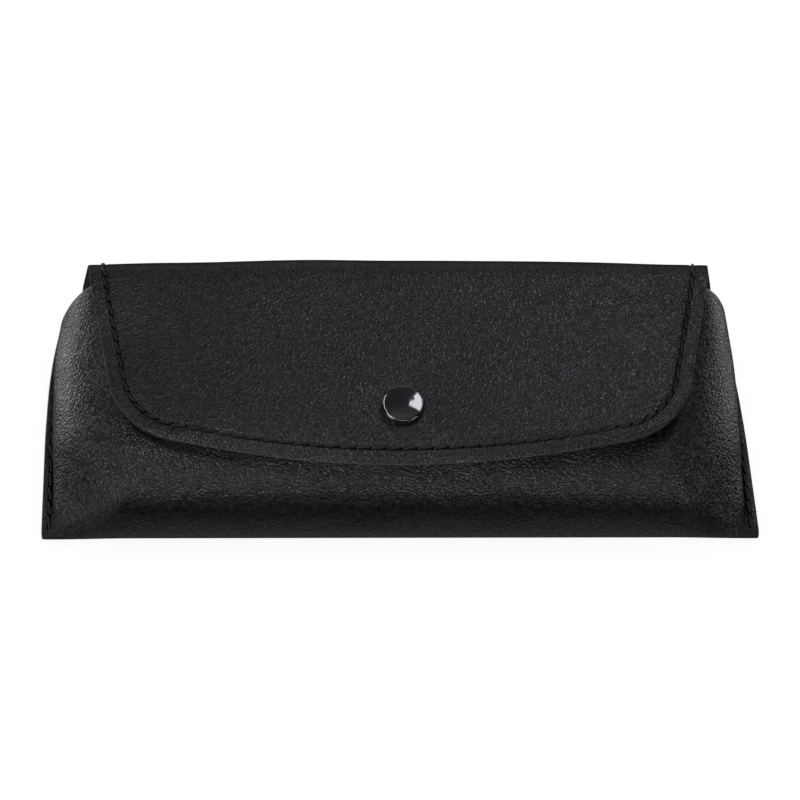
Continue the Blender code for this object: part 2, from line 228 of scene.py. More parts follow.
# Places along the sheet are called s: 0 at the middle of the band, more towards the flap's tip.
PATH_S = run_along(PATH)
PATH_S = PATH_S - s_where(np.abs(PATH_Y - TOP_Y) + np.abs(PATH_Z - MID_BAND_Z))
S_FLAP_ROOT = s_where(np.where(PATH_Z < FRONT_ABOVE_Z, np.inf, np.abs(PATH_Y - FRONT_CENTRE[0])))
S_SPLIT = s_where(np.where(PATH_Z > BACK_BELOW_Z, np.inf, np.abs(PATH_Y - SPLIT_Y)))
S_BACK_BEND = s_where(np.hypot(PATH_Y - BACK_PIVOT[0], PATH_Z - BACK_PIVOT[1]))
S_FRONT_BEND = s_where(np.hypot(PATH_Y - FRONT_PIVOT[0], PATH_Z - FRONT_PIVOT[1]))


def on_path(s):
    return np.interp(s, PATH_S, PATH_Y), np.interp(s, PATH_S, PATH_Z)


def s_of_flap_y(y):
    """How far along the sheet the flap reaches this y."""
    above = PATH_S >= S_FLAP_ROOT
    return np.interp(-np.asarray(y, float), -PATH_Y[above], PATH_S[above])


FOLD_RIPPLE = Ripple(3, 46.0)
SHEET_RIPPLE = Ripple(11, 21.0)
BOW = 1.2
BOW_HALF = 79.0
SNAP_PRESS = 0.22
SNAP_PRESS_R = 7.5
CORNER_DROOP = 1.1


def strip_lift(x, s):
    """How far the strip stands off its path: a bowed fold, unevenness, a pressed snap, drooping corners."""
    y, _ = on_path(s)
    on_flap = smoothstep(S_FLAP_ROOT - 6, S_FLAP_ROOT + 6, s)
    from_snap = np.hypot(x, y - SNAP_Y) + 60 * (1 - on_flap)
    bow = BOW * (1 - np.abs(x / BOW_HALF) ** 2.5) * smoothstep(S_BACK_BEND - 2, S_FRONT_BEND - 4, s)
    bow = bow * (1 - 0.75 * smoothstep(S_FLAP_ROOT - 1, S_FLAP_ROOT + 22, s))
    bow = bow * smoothstep(4, 18, from_snap)
    uneven = 0.16 * FOLD_RIPPLE.at(x, s) + 0.07 * SHEET_RIPPLE.at(x, s)
    uneven = uneven * smoothstep(S_BACK_BEND - 3, S_BACK_BEND + 6, s)
    uneven = uneven * smoothstep(7, 22, from_snap)
    press = -SNAP_PRESS * np.exp(-((from_snap / SNAP_PRESS_R) ** 2))
    droop = -CORNER_DROOP * on_flap * smoothstep(52, 76, np.abs(x))
    droop = droop * smoothstep(S_FLAP_ROOT + 2, S_FLAP_ROOT + 18, s)
    return bow + uneven + press + droop


POUCH_SKEW = 0.031


def pouch_lean(y, z):
    """The pouch was sewn a little askew: how far its back and flanges sit to one side, less so higher up."""
    return -POUCH_SKEW * (np.minimum(y, 28.0) - BOTTOM_Y) * (1 - 0.75 * smoothstep(FLANGE_THICK, 20.0, z))


def strip_lean(s):
    y, _ = on_path(s)
    share = smoothstep(S_BACK_BEND - 6, -1.0, s)
    return (1 - share) * pouch_lean(y, 0.0) + share * FLAP_LEAN


def strip_point(x, s):
    """Places of sheet coordinates on the outside of the strip, with the sheet bent and lifted."""
    x, s = np.broadcast_arrays(np.asarray(x, float), np.asarray(s, float))
    step = 0.4
    y0, z0 = on_path(s - step)
    y1, z1 = on_path(s + step)
    y, z = (y0 + y1) / 2, (z0 + z1) / 2
    along = unit(np.stack([y1 - y0, z1 - z0], -1))
    out_y, out_z = along[..., 1], -along[..., 0]
    lift = strip_lift(x, s)
    return np.stack([x + strip_lean(s), y + out_y * lift, z + out_z * lift], -1)


def strip_normal(x, s):
    step = 0.3
    across = strip_point(x + step, s) - strip_point(x - step, s)
    along = strip_point(x, s + step) - strip_point(x, s - step)
    return unit(np.cross(along, across))


# Half-width across the side seams at these values of y.
SEAM_WIDTHS = ((-36.0, 87.5), (-20.0, 87.35), (0.0, 87.0), (12.0, 86.3), (20.0, 85.3), (24.5, 84.5))


def s_of_back_y(y):
    low = PATH_S <= S_BACK_BEND
    return np.interp(np.asarray(y, float), PATH_Y[low], PATH_S[low])


# Half-width of the strip at places s along it.
STRIP_HALF = [(float(s_of_back_y(y)), half) for y, half in SEAM_WIDTHS[1:]]
STRIP_HALF += [
    (float(s_of_back_y(28.0)), 82.9),
    (S_BACK_BEND + 0.5, 81.2),
    (0.0, 79.1),
    (S_FRONT_BEND, 76.6),
    (S_FLAP_ROOT, 76.1),
]


def strip_half(s):
    return spline(STRIP_HALF, s)[..., 0]


def seam_half(y):
    return spline(SEAM_WIDTHS, y)[..., 0]


# ---- flap outline

VISIBLE_TIP_Y = FLAP_TIP_Y + CUT_BACK
TIP_R = 263.0
CORNER_X = 49.65
CORNER_R = 21.0
SIDE_DEG = 12.0
BAND_POINTS = 40
ARC_STEPS = 40
MID_CORNER = BAND_POINTS + ARC_STEPS // 2


def flap_outline(inset):
    """Right half of the flap's outline as (x, s), from the middle of the band to the middle of the tip."""
    tip_centre = VISIBLE_TIP_Y + TIP_R
    between = TIP_R - CORNER_R
    corner_y = tip_centre - math.sqrt(between**2 - CORNER_X**2)
    tip_angle = math.acos(CORNER_X / between)
    points = [(float(strip_half(s)) - inset, float(s)) for s in np.linspace(0, S_FLAP_ROOT, BAND_POINTS)]
    side = math.radians(SIDE_DEG)
    for k in range(ARC_STEPS + 1):
        angle = -side - (tip_angle - side) * k / ARC_STEPS
        x = CORNER_X + (CORNER_R - inset) * math.cos(angle)
        y = corner_y + (CORNER_R - inset) * math.sin(angle)
        points.append((x, float(s_of_flap_y(y))))
    last_x = points[-1][0]
    for k in range(1, ARC_STEPS + 1):
        x = last_x * (1 - k / ARC_STEPS)
        y = tip_centre - math.sqrt((TIP_R - inset) ** 2 - x**2)
        points.append((x, float(s_of_flap_y(y))))
    return np.array(points)


def resample(points, places):
    """Points at these shares (0 to 1) of a polyline's length."""
    length = run_along(points)
    return interpolated(np.asarray(places) * length[-1], length, points)


def edge_spacing(width, fine, coarse, band):
    """Shares from 0 to 1 across a width: fine steps near both ends, growing to coarse in the middle."""
    steps = [0.0, 0.07, 0.16, 0.30, 0.50]
    rim, rim_count = steps[-1], len(steps)
    while steps[-1] < width / 2:
        near = steps[-1]
        size = fine + (coarse - fine) * min(max((near - band) / (2 * band), 0.0), 1.0)
        steps.append(near + size)
    steps = np.array(steps)
    steps[rim_count:] = rim + (steps[rim_count:] - rim) * (width / 2 - rim) / (steps[-1] - rim)
    return np.concatenate([steps, (width - steps[:-1])[::-1]]) / width


def flap_grid(inset, fine, coarse):
    """Sheet coordinates (rows, columns, 2) of a grid that fills the flap's outline.

    The grid's lower corners sit at the middle of the flap's round corners.
    """
    outline = flap_outline(inset)
    us = edge_spacing(150.0, fine, coarse, 6.0)
    vs = 1 - edge_spacing(140.0, fine, coarse, 6.0)
    vs = np.sort(np.unique(np.round(vs[vs <= 0.5001] * 2, 6)))
    right = resample(outline[: MID_CORNER + 1], vs)
    left = right * [-1, 1]
    bottom = resample(mirrored(outline[MID_CORNER:])[::-1], us)
    top = np.stack([np.interp(us, [0, 1], [left[0, 0], right[0, 0]]), np.full(len(us), 0.0)], -1)
    u = us[None, :, None]
    v = vs[:, None, None]
    blended = (1 - v) * top[None] + v * bottom[None] + (1 - u) * left[:, None] + u * right[:, None]
    blended -= (
        (1 - u) * (1 - v) * top[0]
        + u * (1 - v) * top[-1]
        + (1 - u) * v * bottom[0]
        + u * v * bottom[-1]
    )
    return blended


# ---- the pouch: bottom, flanges and front

# Rows from the back, round the bottom and up the front. Each is: row, y and z at the middle, y and z at the
# flange, flank width, how far out the flank swells, how steeply it starts, and how flat it ends. The front's
# rows leave out z at the flange, which is its thickness.
def pouch_rows():
    r = FLANGE_THICK / 2
    rows = [(-20.0, 0.0, -20.0, 0.0, 17, 0, 0.3, 0.5), (-24.0, 0.0, -25.5, 0.0, 17, 0, 0.3, 0.5)]
    fold = [(-27.8, 0.0), (-30.9, 0.6), (-32.3, 2.6), (-32.5, 5.6), (-32.2, 8.8), (-31.6, 12.0), (-30.6, 14.8)]
    for k, (y, z) in enumerate(fold):
        # The flange folds round a half circle, while the middle rises in a wide curve.
        angle = math.radians(270 - 30 * k)
        y_side, z_side = BOTTOM_Y + r + r * math.cos(angle), r + r * math.sin(angle)
        rows.append((y, z, y_side, z_side, 19.0, -8.6, 0.0, 0.32))
    front = [
        (-29.0, 17.1, -29.8, 19.4, -7.8, 0.02, 0.32),
        (-27.0, 18.8, -28.4, 19.9, -6.6, 0.06, 0.32),
        (-24.2, 20.4, -25.4, 20.5, -4.8, 0.14, 0.34),
        (-20.5, 21.9, -21.3, 21.1, -2.8, 0.24, 0.37),
        (-16.0, 23.1, -16.4, 20.7, -0.8, 0.34, 0.40),
        (-10.6, FRONT_Z, -10.6, 19.5, 1.1, 0.43, 0.42),
        (-4.0, FRONT_Z, -4.0, 18.1, 2.1, 0.49, 0.45),
        (3.0, FRONT_Z, 3.0, 16.4, 3.1, 0.52, 0.47),
        (10.0, FRONT_Z, 10.0, 13.9, 4.2, 0.50, 0.49),
        (17.0, 23.5, 16.5, 11.0, 5.1, 0.43, 0.50),
        (22.6, 23.6, 21.0, 8.5, 5.4, 0.34, 0.50),
        (27.8, 23.7, 24.5, 6.7, 5.4, 0.28, 0.50),
    ]
    rows += [(*row[:3], FLANGE_THICK, *row[3:]) for row in front]
    return [(float(k), *row) for k, row in enumerate(rows)]


POUCH_TABLE = pouch_rows()
LAST_ROW = POUCH_TABLE[-1][0]
# Up to here the sheet lies flat on the table.
LAST_FLAT_ROW = 2.0
CROWN_DROP = 0.06
CROWN_POWER = 4
SEAM_C = 3 - SEAM_STITCH_INSET / FLANGE_WIDTH
POUCH_RIPPLE = Ripple(5, 30.0)
FINE_RIPPLE = Ripple(23, 13.0)


def pouch_point(c, v):
    """Outside of the pouch at cross place c and row v.

    c is 0 at the middle, 1 at the crown, 2 at the flank's foot, 3 at the flange's edge, negative on the left.
    """
    c, v = np.broadcast_arrays(np.asarray(c, float), np.asarray(v, float))
    row = spline(POUCH_TABLE, v)
    y_mid, z_mid, y_side, z_side, flank, swell, steep, flat = np.moveaxis(row, -1, 0)
    half = seam_half(y_side)
    foot = half - FLANGE_WIDTH
    crown = foot - flank
    side = np.sign(c)
    place = np.abs(c)
    rise = z_mid - z_side
    on_top = np.clip(place, 0, 1)
    t = np.clip(place - 1, 0, 1)
    out = np.clip(place - 2, 0, 1)
    # The front is gently crowned, and the flank is a cubic curve that carries on from it down to the foot.
    q = 1 - t
    x_flank = (
        q**3 * crown
        + 3 * q**2 * t * (crown + flank * flat)
        + 3 * q * t**2 * (foot + swell)
        + t**3 * foot
    )
    ease_end = 1 - CROWN_DROP - CROWN_DROP * CROWN_POWER * flank * flat / crown
    up = q**3 * (1 - CROWN_DROP) + 3 * q**2 * t * ease_end + 3 * q * t**2 * steep
    x = np.where(place <= 1, crown * on_top, np.where(place <= 2, x_flank, foot + FLANGE_WIDTH * out))
    up = np.where(place <= 1, 1.0 - CROWN_DROP * on_top**CROWN_POWER, np.where(place <= 2, up, 0.0))
    y = y_side + (y_mid - y_side) * up
    z = z_side + rise * up
    return np.stack([side * x + pouch_lean(y, z), y, z], -1)


def pouch_lift(c, v, point):
    """Soft unevenness of the front, none at the flanges and back."""
    x, y, z = np.moveaxis(point, -1, 0)
    place = np.abs(c)
    free = smoothstep(2.0, 1.55, place) * smoothstep(5.0, 9.0, v)
    from_snap = np.hypot(x, y - SNAP_Y)
    free = free * smoothstep(4, 16, from_snap)
    uneven = 0.22 * POUCH_RIPPLE.at(x, y + z) + 0.07 * FINE_RIPPLE.at(x, y + z)
    sag = -0.35 * smoothstep(1.2, 0.2, place) * np.exp(-(((y + 27.0) / 6.0) ** 2))
    return free * (uneven + sag)


def pouch_surface(c, v):
    base = pouch_point(c, v)
    step_c, step_v = 0.012, 0.05
    across = pouch_point(c + step_c, v) - pouch_point(c - step_c, v)
    along = pouch_point(c, v + step_v) - pouch_point(c, v - step_v)
    # Where the table is clamped at its ends, a longer step along it still moves.
    short = np.linalg.norm(along, axis=-1, keepdims=True) < 1e-6
    along = np.where(short, pouch_point(c, v + 3 * step_v) - pouch_point(c, v - 3 * step_v), along)
    normal = unit(np.cross(across, along))
    return base + normal * pouch_lift(c, v, base)[..., None]


def grid_normals(points):
    along = np.gradient(points, axis=0)
    across = np.gradient(points, axis=1)
    return unit(np.cross(across, along))


# ---- meshes


def add_object(name, data):
    obj = bpy.data.objects.new(name, data)
    bpy.context.scene.collection.objects.link(obj)
    return obj


def add_mesh(name, verts, faces, slots, face_slots=None, attributes=None):
    """A smooth mesh object from plain arrays in millimetres."""
    mesh = bpy.data.meshes.new(name)
    mesh.from_pydata((np.asarray(verts) * MM).tolist(), [], faces)
    for slot in slots:
        mesh.materials.append(slot)
    if face_slots is not None:
        mesh.polygons.foreach_set("material_index", np.asarray(face_slots, np.int32))
    mesh.polygons.foreach_set("use_smooth", np.full(len(mesh.polygons), True))
    for key, values in (attributes or {}).items():
        values = np.asarray(values, np.float32)
        kind = "FLOAT_VECTOR" if values.ndim == 2 else "FLOAT"
        made = mesh.attributes.new(key, kind, "POINT")
        made.data.foreach_set("vector" if values.ndim == 2 else "value", values.reshape(-1))
    mesh.validate()
    mesh.update()
    return add_object(name, mesh)


def with_zero(pairs):
    return np.pad(pairs.reshape(-1, 2), ((0, 0), (0, 1)))


def layer(name, points, normals, sheet_mm, edge_mm, top, bottom, slots, open_rows=(False, False), seam=None):
    """A sheet between two depths below a surface, given by grids of points and normals.

    edge_mm is the distance to the sheet's cut edge. slots are the materials of the outer face, of the cut edges
    and of the inner face. open_rows leaves the first or last row without an edge face, where the sheet goes on
    in another piece.
    """
    rows, cols = points.shape[:2]
    toward_rim = np.clip(1 - edge_mm / RIM_R, 0, 1)[..., None]
    rounding = RIM_R * (1 - np.sqrt(1 - 0.96 * toward_rim**2))
    outer = points - normals * (top + rounding)
    inner = points - normals * (bottom - 0.3 * rounding)
    verts = np.concatenate([outer.reshape(-1, 3), inner.reshape(-1, 3)])
    index = np.arange(rows * cols).reshape(rows, cols)
    below = index + rows * cols
    faces, kinds = [], []

    def add(grid_a, grid_b, grid_c, grid_d, kind):
        block = np.stack([grid_a, grid_b, grid_c, grid_d], -1).reshape(-1, 4)
        faces.extend(block.tolist())
        kinds.extend([kind] * len(block))

    add(index[:-1, :-1], index[:-1, 1:], index[1:, 1:], index[1:, :-1], 0)
    add(below[:-1, :-1], below[1:, :-1], below[1:, 1:], below[:-1, 1:], 2)
    add(index[:-1, 0], index[1:, 0], below[1:, 0], below[:-1, 0], 1)
    add(index[:-1, -1], below[:-1, -1], below[1:, -1], index[1:, -1], 1)
    if not open_rows[0]:
        add(index[0, :-1], below[0, :-1], below[0, 1:], index[0, 1:], 1)
    if not open_rows[1]:
        add(index[-1, :-1], index[-1, 1:], below[-1, 1:], below[-1, :-1], 1)
    sheet_3 = with_zero(sheet_mm)
    attributes = {
        "sheet_mm": np.concatenate([sheet_3, sheet_3 + [0, 0, 3.0]]),
        "edge_mm": np.concatenate([edge_mm.reshape(-1), edge_mm.reshape(-1)]),
    }
    if seam is not None:
        seam_3 = with_zero(seam)
        attributes["seam"] = np.concatenate([seam_3, np.broadcast_to([0.5, NO_SEAM, 0.0], seam_3.shape)])
    obj = add_mesh(name, verts, faces, slots, kinds, attributes)
    obj.data.set_sharp_from_angle(angle=math.radians(40))
    return obj


def tube(points, radius, sides, taper):
    """Vertices and faces of a round, closed tube along a few points, thinner at its ends."""
    points = np.asarray(points, float)
    along = unit(np.gradient(points, axis=0))
    helper = np.array([0.0, 0.0, 1.0])
    if abs(along[len(points) // 2] @ helper) > 0.9:
        helper = np.array([1.0, 0.0, 0.0])
    side = unit(np.cross(along, helper))
    up = np.cross(side, along)
    verts, faces = [], []
    count = len(points)
    for k in range(count):
        share = abs(2 * k / (count - 1) - 1)
        r = radius * (1 - taper * share**4)
        for j in range(sides):
            angle = 2 * math.pi * j / sides
            verts.append(points[k] + side[k] * r * math.cos(angle) + up[k] * r * math.sin(angle))
    for k in range(count - 1):
        for j in range(sides):
            a, b = k * sides + j, k * sides + (j + 1) % sides
            faces.append((a, a + sides, b + sides, b))
    faces.append(tuple(range(sides)))
    faces.append(tuple(reversed(range((count - 1) * sides, count * sides))))
    return verts, faces


def run_of(places):
    """Distance along a line, and the distance between stitch holes that fits it a whole number of times."""
    length = run_along(places)
    return length, length[-1] / int(length[-1] // STITCH_PITCH)


def stitches(name, places, normals, seed):
    """Separate stitches along a line on the leather: each dips into its holes, tilts a little and varies."""
    chance = random.Random(seed)
    length, pitch = run_of(places)

    def at(distance):
        return interpolated(distance, length, places), unit(interpolated(distance, length, normals))

    verts, faces = [], []
    for k in range(round(length[-1] / pitch)):
        start = pitch * k + STITCH_GAP / 2 + chance.uniform(-0.05, 0.05)
        reach = pitch - STITCH_GAP
        tilt = STITCH_TILT + chance.uniform(-0.16, 0.16)
        plump = chance.uniform(0.88, 1.12)
        line = []
        for share in (0.0, 0.08, 0.2, 0.38, 0.62, 0.8, 0.92, 1.0):
            place, normal = at(min(max(start + reach * share, 0.0), length[-1]))
            ahead, _ = at(min(start + reach * share + 0.2, length[-1]))
            behind, _ = at(max(start + reach * share - 0.2, 0.0))
            sideways = unit(np.cross(normal, unit(ahead - behind)))
            height = STITCH_LIFT - STITCH_SINK * abs(2 * share - 1) ** 6
            line.append(place + normal * height + sideways * tilt * (share - 0.5))
        made, quads = tube(line, THREAD_R * plump, 7, 0.25)
        offset = len(verts)
        verts.extend(made)
        faces.extend(tuple(v + offset for v in quad) for quad in quads)
    return add_mesh(name, np.array(verts), faces, [THREAD_LOOK])


def gaps(points, others):
    """Distances (points, others) between two sets of sheet points."""
    return np.hypot(points[:, None, 0] - others[None, :, 0], points[:, None, 1] - others[None, :, 1])


def seam_field(grid, line, lengths, pitch, reach=3.0):
    """For each sheet point: how many stitches along the line it lies, and how far from it in millimetres."""
    flat = grid.reshape(-1, 2)
    fine = np.linspace(0, lengths[-1], int(lengths[-1] / 0.06))
    dense_line = interpolated(fine, lengths, line)
    field = np.tile([0.5, NO_SEAM], (len(flat), 1))
    for block in np.array_split(np.arange(len(dense_line)), max(1, len(dense_line) // 400)):
        part = dense_line[block]
        low, high = part.min(axis=0) - reach, part.max(axis=0) + reach
        near = np.flatnonzero(((flat > low) & (flat < high)).all(axis=1))
        if not len(near):
            continue
        gap = gaps(flat[near], part)
        best = gap.argmin(axis=1)
        closest = gap[np.arange(len(near)), best]
        better = closest < field[near, 1]
        field[near[better], 0] = fine[block][best[better]] / pitch
        field[near[better], 1] = closest[better]
    return field.reshape(*grid.shape[:2], 2)


def groove(distance, depth=0.2, width=0.75):
    """How far a line of stitches pulls the leather down at this distance from it."""
    return depth * np.exp(-((distance / width) ** 2))


# ---- materials


class Nodes:
    """A short way to write a node tree."""

    def __init__(self, name):
        self.material = bpy.data.materials.new(name)
        self.material.use_nodes = True
        self.tree = self.material.node_tree
        self.shader = self.tree.nodes["Principled BSDF"]

    def surface(self, **values):
        for key, value in values.items():
            self.put(self.shader, key.replace("_", " "), value)
        return self.material

    @classmethod
    def of_tree(cls, tree):
        made = cls.__new__(cls)
        made.tree = tree
        return made

    def add(self, kind, settings=None, **inputs):
        node = self.tree.nodes.new("ShaderNode" + kind)
        for key, value in (settings or {}).items():
            setattr(node, key, value)
        for key, value in inputs.items():
            self.put(node, key.replace("_", " "), value)
        return node

    def put(self, node, socket, value):
        target = node.inputs[int(socket)] if socket.isdigit() else node.inputs[socket]
        if isinstance(value, bpy.types.NodeSocket):
            self.tree.links.new(value, target)
        else:
            target.default_value = value

    def maths(self, operation, a, b=0.0):
        node = self.add("Math", {"operation": operation})
        self.put(node, "0", a)
        self.put(node, "1", b)
        return node.outputs[0]

    def times(self, a, b):
        return self.maths("MULTIPLY", a, b)

    def plus(self, a, b):
        return self.maths("ADD", a, b)

    def ranged(self, value, low, high, to_low=0.0, to_high=1.0, smooth=False):
        node = self.add("MapRange", {"interpolation_type": "SMOOTHSTEP" if smooth else "LINEAR"})
        for socket, given in zip(("0", "1", "2", "3", "4"), (value, low, high, to_low, to_high)):
            self.put(node, socket, given)
        return node.outputs[0]

    def mixed(self, share, a, b):
        node = self.add("Mix", {"data_type": "RGBA"})
        self.put(node, "0", share)
        for socket, given in (("6", a), ("7", b)):
            self.put(node, socket, given if isinstance(given, bpy.types.NodeSocket) else (*given, 1.0))
        return node.outputs[2]

    def noise(self, vector, scale, detail=2.0, rough=0.5):
        node = self.add("TexNoise", Vector=vector, Scale=scale, Detail=detail, Roughness=rough)
        return node.outputs["Fac"]

    def attribute(self, name, output="Vector"):
        return self.add("Attribute", {"attribute_name": name}).outputs[output]

    def bump(self, height, strength, distance_mm):
        return self.add("Bump", Height=height, Strength=strength, Distance=distance_mm * MM).outputs[0]


LEATHER_TINT = (1.0, 0.93, 1.06)
LEATHER_TONE = 0.0042
# Painted shade: the colour put into the grain's creases.
CREASE_SHADE_COLOUR = (0.002, 0.002, 0.002)
# Painted shade: the colour in the stitch holes and along the lines of stitches.
STITCH_SHADE_COLOUR = (0.0008, 0.0008, 0.0008)
FIBRE_DARK = (0.018, 0.018, 0.016)
FIBRE_PALE = (0.050, 0.049, 0.043)


def leather_material(name, pebble, relief_mm):
    """Coated leather with a fine pebbled grain, pebble to the millimetre. Coordinates are on the flat sheet."""
    n = Nodes(name)
    sheet = n.attribute("sheet_mm")
    edge = n.attribute("edge_mm", "Fac")
    wobble = n.add("TexNoise", Vector=sheet, Scale=0.7, Detail=2.0)
    shifted = n.add("VectorMath", {"operation": "MULTIPLY_ADD"})
    n.put(shifted, "0", wobble.outputs["Color"])
    n.put(shifted, "1", (1.0, 1.0, 1.0))
    n.put(shifted, "2", sheet)
    place = shifted.outputs[0]
    cells = n.add("TexVoronoi", {"feature": "DISTANCE_TO_EDGE"}, Vector=place, Scale=pebble)
    domes = n.add("TexVoronoi", {"feature": "F1"}, Vector=place, Scale=pebble)
    crease = n.ranged(cells.outputs["Distance"], 0.0, 0.17, smooth=True)
    dome = n.ranged(domes.outputs["Distance"], 0.0, 0.75, 1.0, 0.0, True)
    shade = n.add("SeparateColor", Color=domes.outputs["Color"]).outputs[0]
    fine = n.noise(sheet, 6.0, 2.0, 0.6)
    folds = n.noise(sheet, 0.8, 3.0, 0.6)
    patches = n.noise(sheet, 0.045, 3.0)
    height = n.times(dome, 0.7)
    for part, weight in ((crease, 0.3), (fine, 0.08), (folds, 0.9), (shade, 0.2)):
        height = n.plus(height, n.times(part, weight))
    seam = n.add("SeparateXYZ", Vector=n.attribute("seam"))
    phase = n.maths("SUBTRACT", n.maths("FRACT", n.plus(seam.outputs["X"], 0.5)), 0.5)
    along = n.times(phase, STITCH_PITCH)
    across = seam.outputs["Y"]
    squares = n.plus(n.times(along, along), n.times(across, across))
    # Painted shade: the leather is painted near black in the stitch holes and, mostly, along the pressed line
    # of stitches. It loses its gloss there too.
    outside_hole_shade = n.ranged(n.maths("SQRT", squares), HOLE_SHADE_R, HOLE_SHADE_R + 0.2, smooth=True)
    pressed = n.ranged(across, 0.32, 0.72, 0.12, 1.0, True)
    clear_of_stitch_shade = n.times(outside_hole_shade, pressed)
    low = tuple(LEATHER_TONE * 0.75 * t for t in LEATHER_TINT)
    high = tuple(LEATHER_TONE * 1.2 * t for t in LEATHER_TINT)
    colour = n.mixed(n.ranged(patches, 0.3, 0.7), low, high)
    # Painted shade: the creases between the pebbles are darkened.
    colour = n.mixed(n.ranged(crease, 0.0, 1.0, 0.6, 0.0), colour, CREASE_SHADE_COLOUR)
    # The outer face turns paler within 0.45 mm of its cut edge.
    colour = n.mixed(n.ranged(edge, 0.0, 0.45, 0.8, 0.0, True), colour, FIBRE_PALE)
    # Painted shade in the stitch holes and along the lines of stitches.
    colour = n.mixed(clear_of_stitch_shade, STITCH_SHADE_COLOUR, colour)
    rough = n.ranged(patches, 0.3, 0.7, 0.29, 0.35)
    rough = n.plus(rough, n.ranged(crease, 0.0, 1.0, 0.10, -0.02))
    gloss = n.times(n.ranged(crease, 0.0, 0.9, 0.30, 0.66), n.ranged(shade, 0.0, 1.0, 0.8, 1.25))
    gloss = n.times(gloss, clear_of_stitch_shade)
    normal = n.bump(height, 1.0, relief_mm)
    return n.surface(Base_Color=colour, Roughness=rough, Specular_IOR_Level=gloss, Normal=normal)


def edge_material():
    """The cut edge: grey fibres of the leather's backing, in thin layers."""
    n = Nodes("leather_cut_edge")
    place = n.add("TexCoord").outputs["Object"]
    fibres = n.noise(place, 2600.0, 2.0)
    colour = n.mixed(n.ranged(fibres, 0.35, 0.65), FIBRE_DARK, FIBRE_PALE)
    return n.surface(Base_Color=colour, Roughness=0.75, Normal=n.bump(fibres, 0.6, 0.08))


def lining_material():
    """Short-napped microfibre, dark grey."""
    n = Nodes("lining_microfibre")
    sheet = n.attribute("sheet_mm")
    nap = n.noise(sheet, 3.2, 4.0, 0.65)
    brushed = n.noise(sheet, 0.12, 3.0, 0.6)
    colour = n.mixed(n.ranged(nap, 0.3, 0.7), (0.016, 0.015, 0.017), (0.036, 0.034, 0.037))
    colour = n.mixed(n.ranged(brushed, 0.35, 0.65, 0.0, 0.45), colour, (0.045, 0.043, 0.046))
    return n.surface(
        Base_Color=colour,
        Roughness=0.92,
        Specular_IOR_Level=0.25,
        Sheen_Weight=0.35,
        Sheen_Roughness=0.4,
        Normal=n.bump(nap, 0.8, 0.09),
    )


def thread_material():
    """Bonded black thread: its twist shows as slanting ridges."""
    n = Nodes("thread_black")
    place = n.add("TexCoord").outputs["Object"]
    bands = {"wave_type": "BANDS", "bands_direction": "DIAGONAL"}
    twist = n.add("TexWave", bands, Vector=place, Scale=560.0, Distortion=0.6).outputs["Fac"]
    fuzz = n.noise(place, 3500.0, 2.0)
    colour = n.mixed(twist, (0.003, 0.003, 0.0035), (0.010, 0.009, 0.010))
    rough = n.ranged(fuzz, 0.3, 0.7, 0.42, 0.62)
    return n.surface(Base_Color=colour, Roughness=rough, Normal=n.bump(twist, 0.7, 0.06))


def board_material():
    """Brown fibre board with pale flecks."""
    n = Nodes("fibre_board")
    place = n.add("TexCoord").outputs["Object"]
    flecks = n.noise(place, 900.0, 4.0, 0.7)
    colour = n.mixed(n.ranged(flecks, 0.3, 0.7), (0.21, 0.16, 0.11), (0.36, 0.29, 0.20))
    return n.surface(Base_Color=colour, Roughness=0.88, Normal=n.bump(flecks, 0.4, 0.05))


def enamel_material():
    """Glossy black enamel on the cap, with a faint orange-peel and a few smears."""
    n = Nodes("cap_enamel")
    place = n.add("TexCoord").outputs["Object"]
    peel = n.noise(place, 420.0, 2.0)
    smears = n.noise(place, 160.0, 4.0, 0.7)
    return n.surface(
        Base_Color=(0.0035, 0.0035, 0.004, 1.0),
        Roughness=n.ranged(smears, 0.35, 0.7, 0.06, 0.16),
        Specular_IOR_Level=1.0,
        Coat_Weight=1.0,
        Coat_IOR=2.0,
        Coat_Roughness=0.04,
        Normal=n.bump(peel, 0.12, 0.05),
    )


def steel_material():
    """Nickel plate with slightly uneven gloss."""
    n = Nodes("nickel_plate")
    place = n.add("TexCoord").outputs["Object"]
    smears = n.noise(place, 380.0, 4.0, 0.7)
    colour = n.mixed(n.ranged(smears, 0.3, 0.7), (0.46, 0.45, 0.44), (0.60, 0.59, 0.58))
    rough = n.ranged(smears, 0.3, 0.7, 0.2, 0.36)
    return n.surface(Base_Color=colour, Metallic=1.0, Roughness=rough, Normal=n.bump(smears, 0.1, 0.03))


LEATHER_LOOK = leather_material("leather_black", 1.6, 0.075)
FRONT_LOOK = leather_material("leather_black_front", 1.35, 0.10)
EDGE_LOOK = edge_material()
LINING_LOOK = lining_material()
THREAD_LOOK = thread_material()
BOARD_LOOK = board_material()
ENAMEL_LOOK = enamel_material()
STEEL_LOOK = steel_material()
# Each sheet's materials: its outer face, its cut edges and its inner face.
SHEET_LOOKS = [LEATHER_LOOK, EDGE_LOOK, EDGE_LOOK]
FRONT_LOOKS = [FRONT_LOOK, EDGE_LOOK, EDGE_LOOK]
LINING_LOOKS = [LINING_LOOK] * 3
BOARD_LOOKS = [BOARD_LOOK] * 3

# The strip's bends: the bodies on the two sides of each, and its start and end points.
BACK_BEND = (
    "pouch",
    "top_band",
    (0, (BACK_CENTRE[0] - 0.5) * MM, 0.2 * MM),
    (0, TOP_Y * MM, (BACK_CENTRE[1] + 1.5) * MM),
)
FRONT_BEND = (
    "top_band",
    "flap",
    (0, TOP_Y * MM, (FRONT_CENTRE[1] - 1.5) * MM),
    (0, (FRONT_CENTRE[0] - 1.5) * MM, FLAP_Z * MM),
)


def on_body(obj, node, body):
    """This object shows a CAD node and moves with a body."""
    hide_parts(node)
    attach(obj, body)


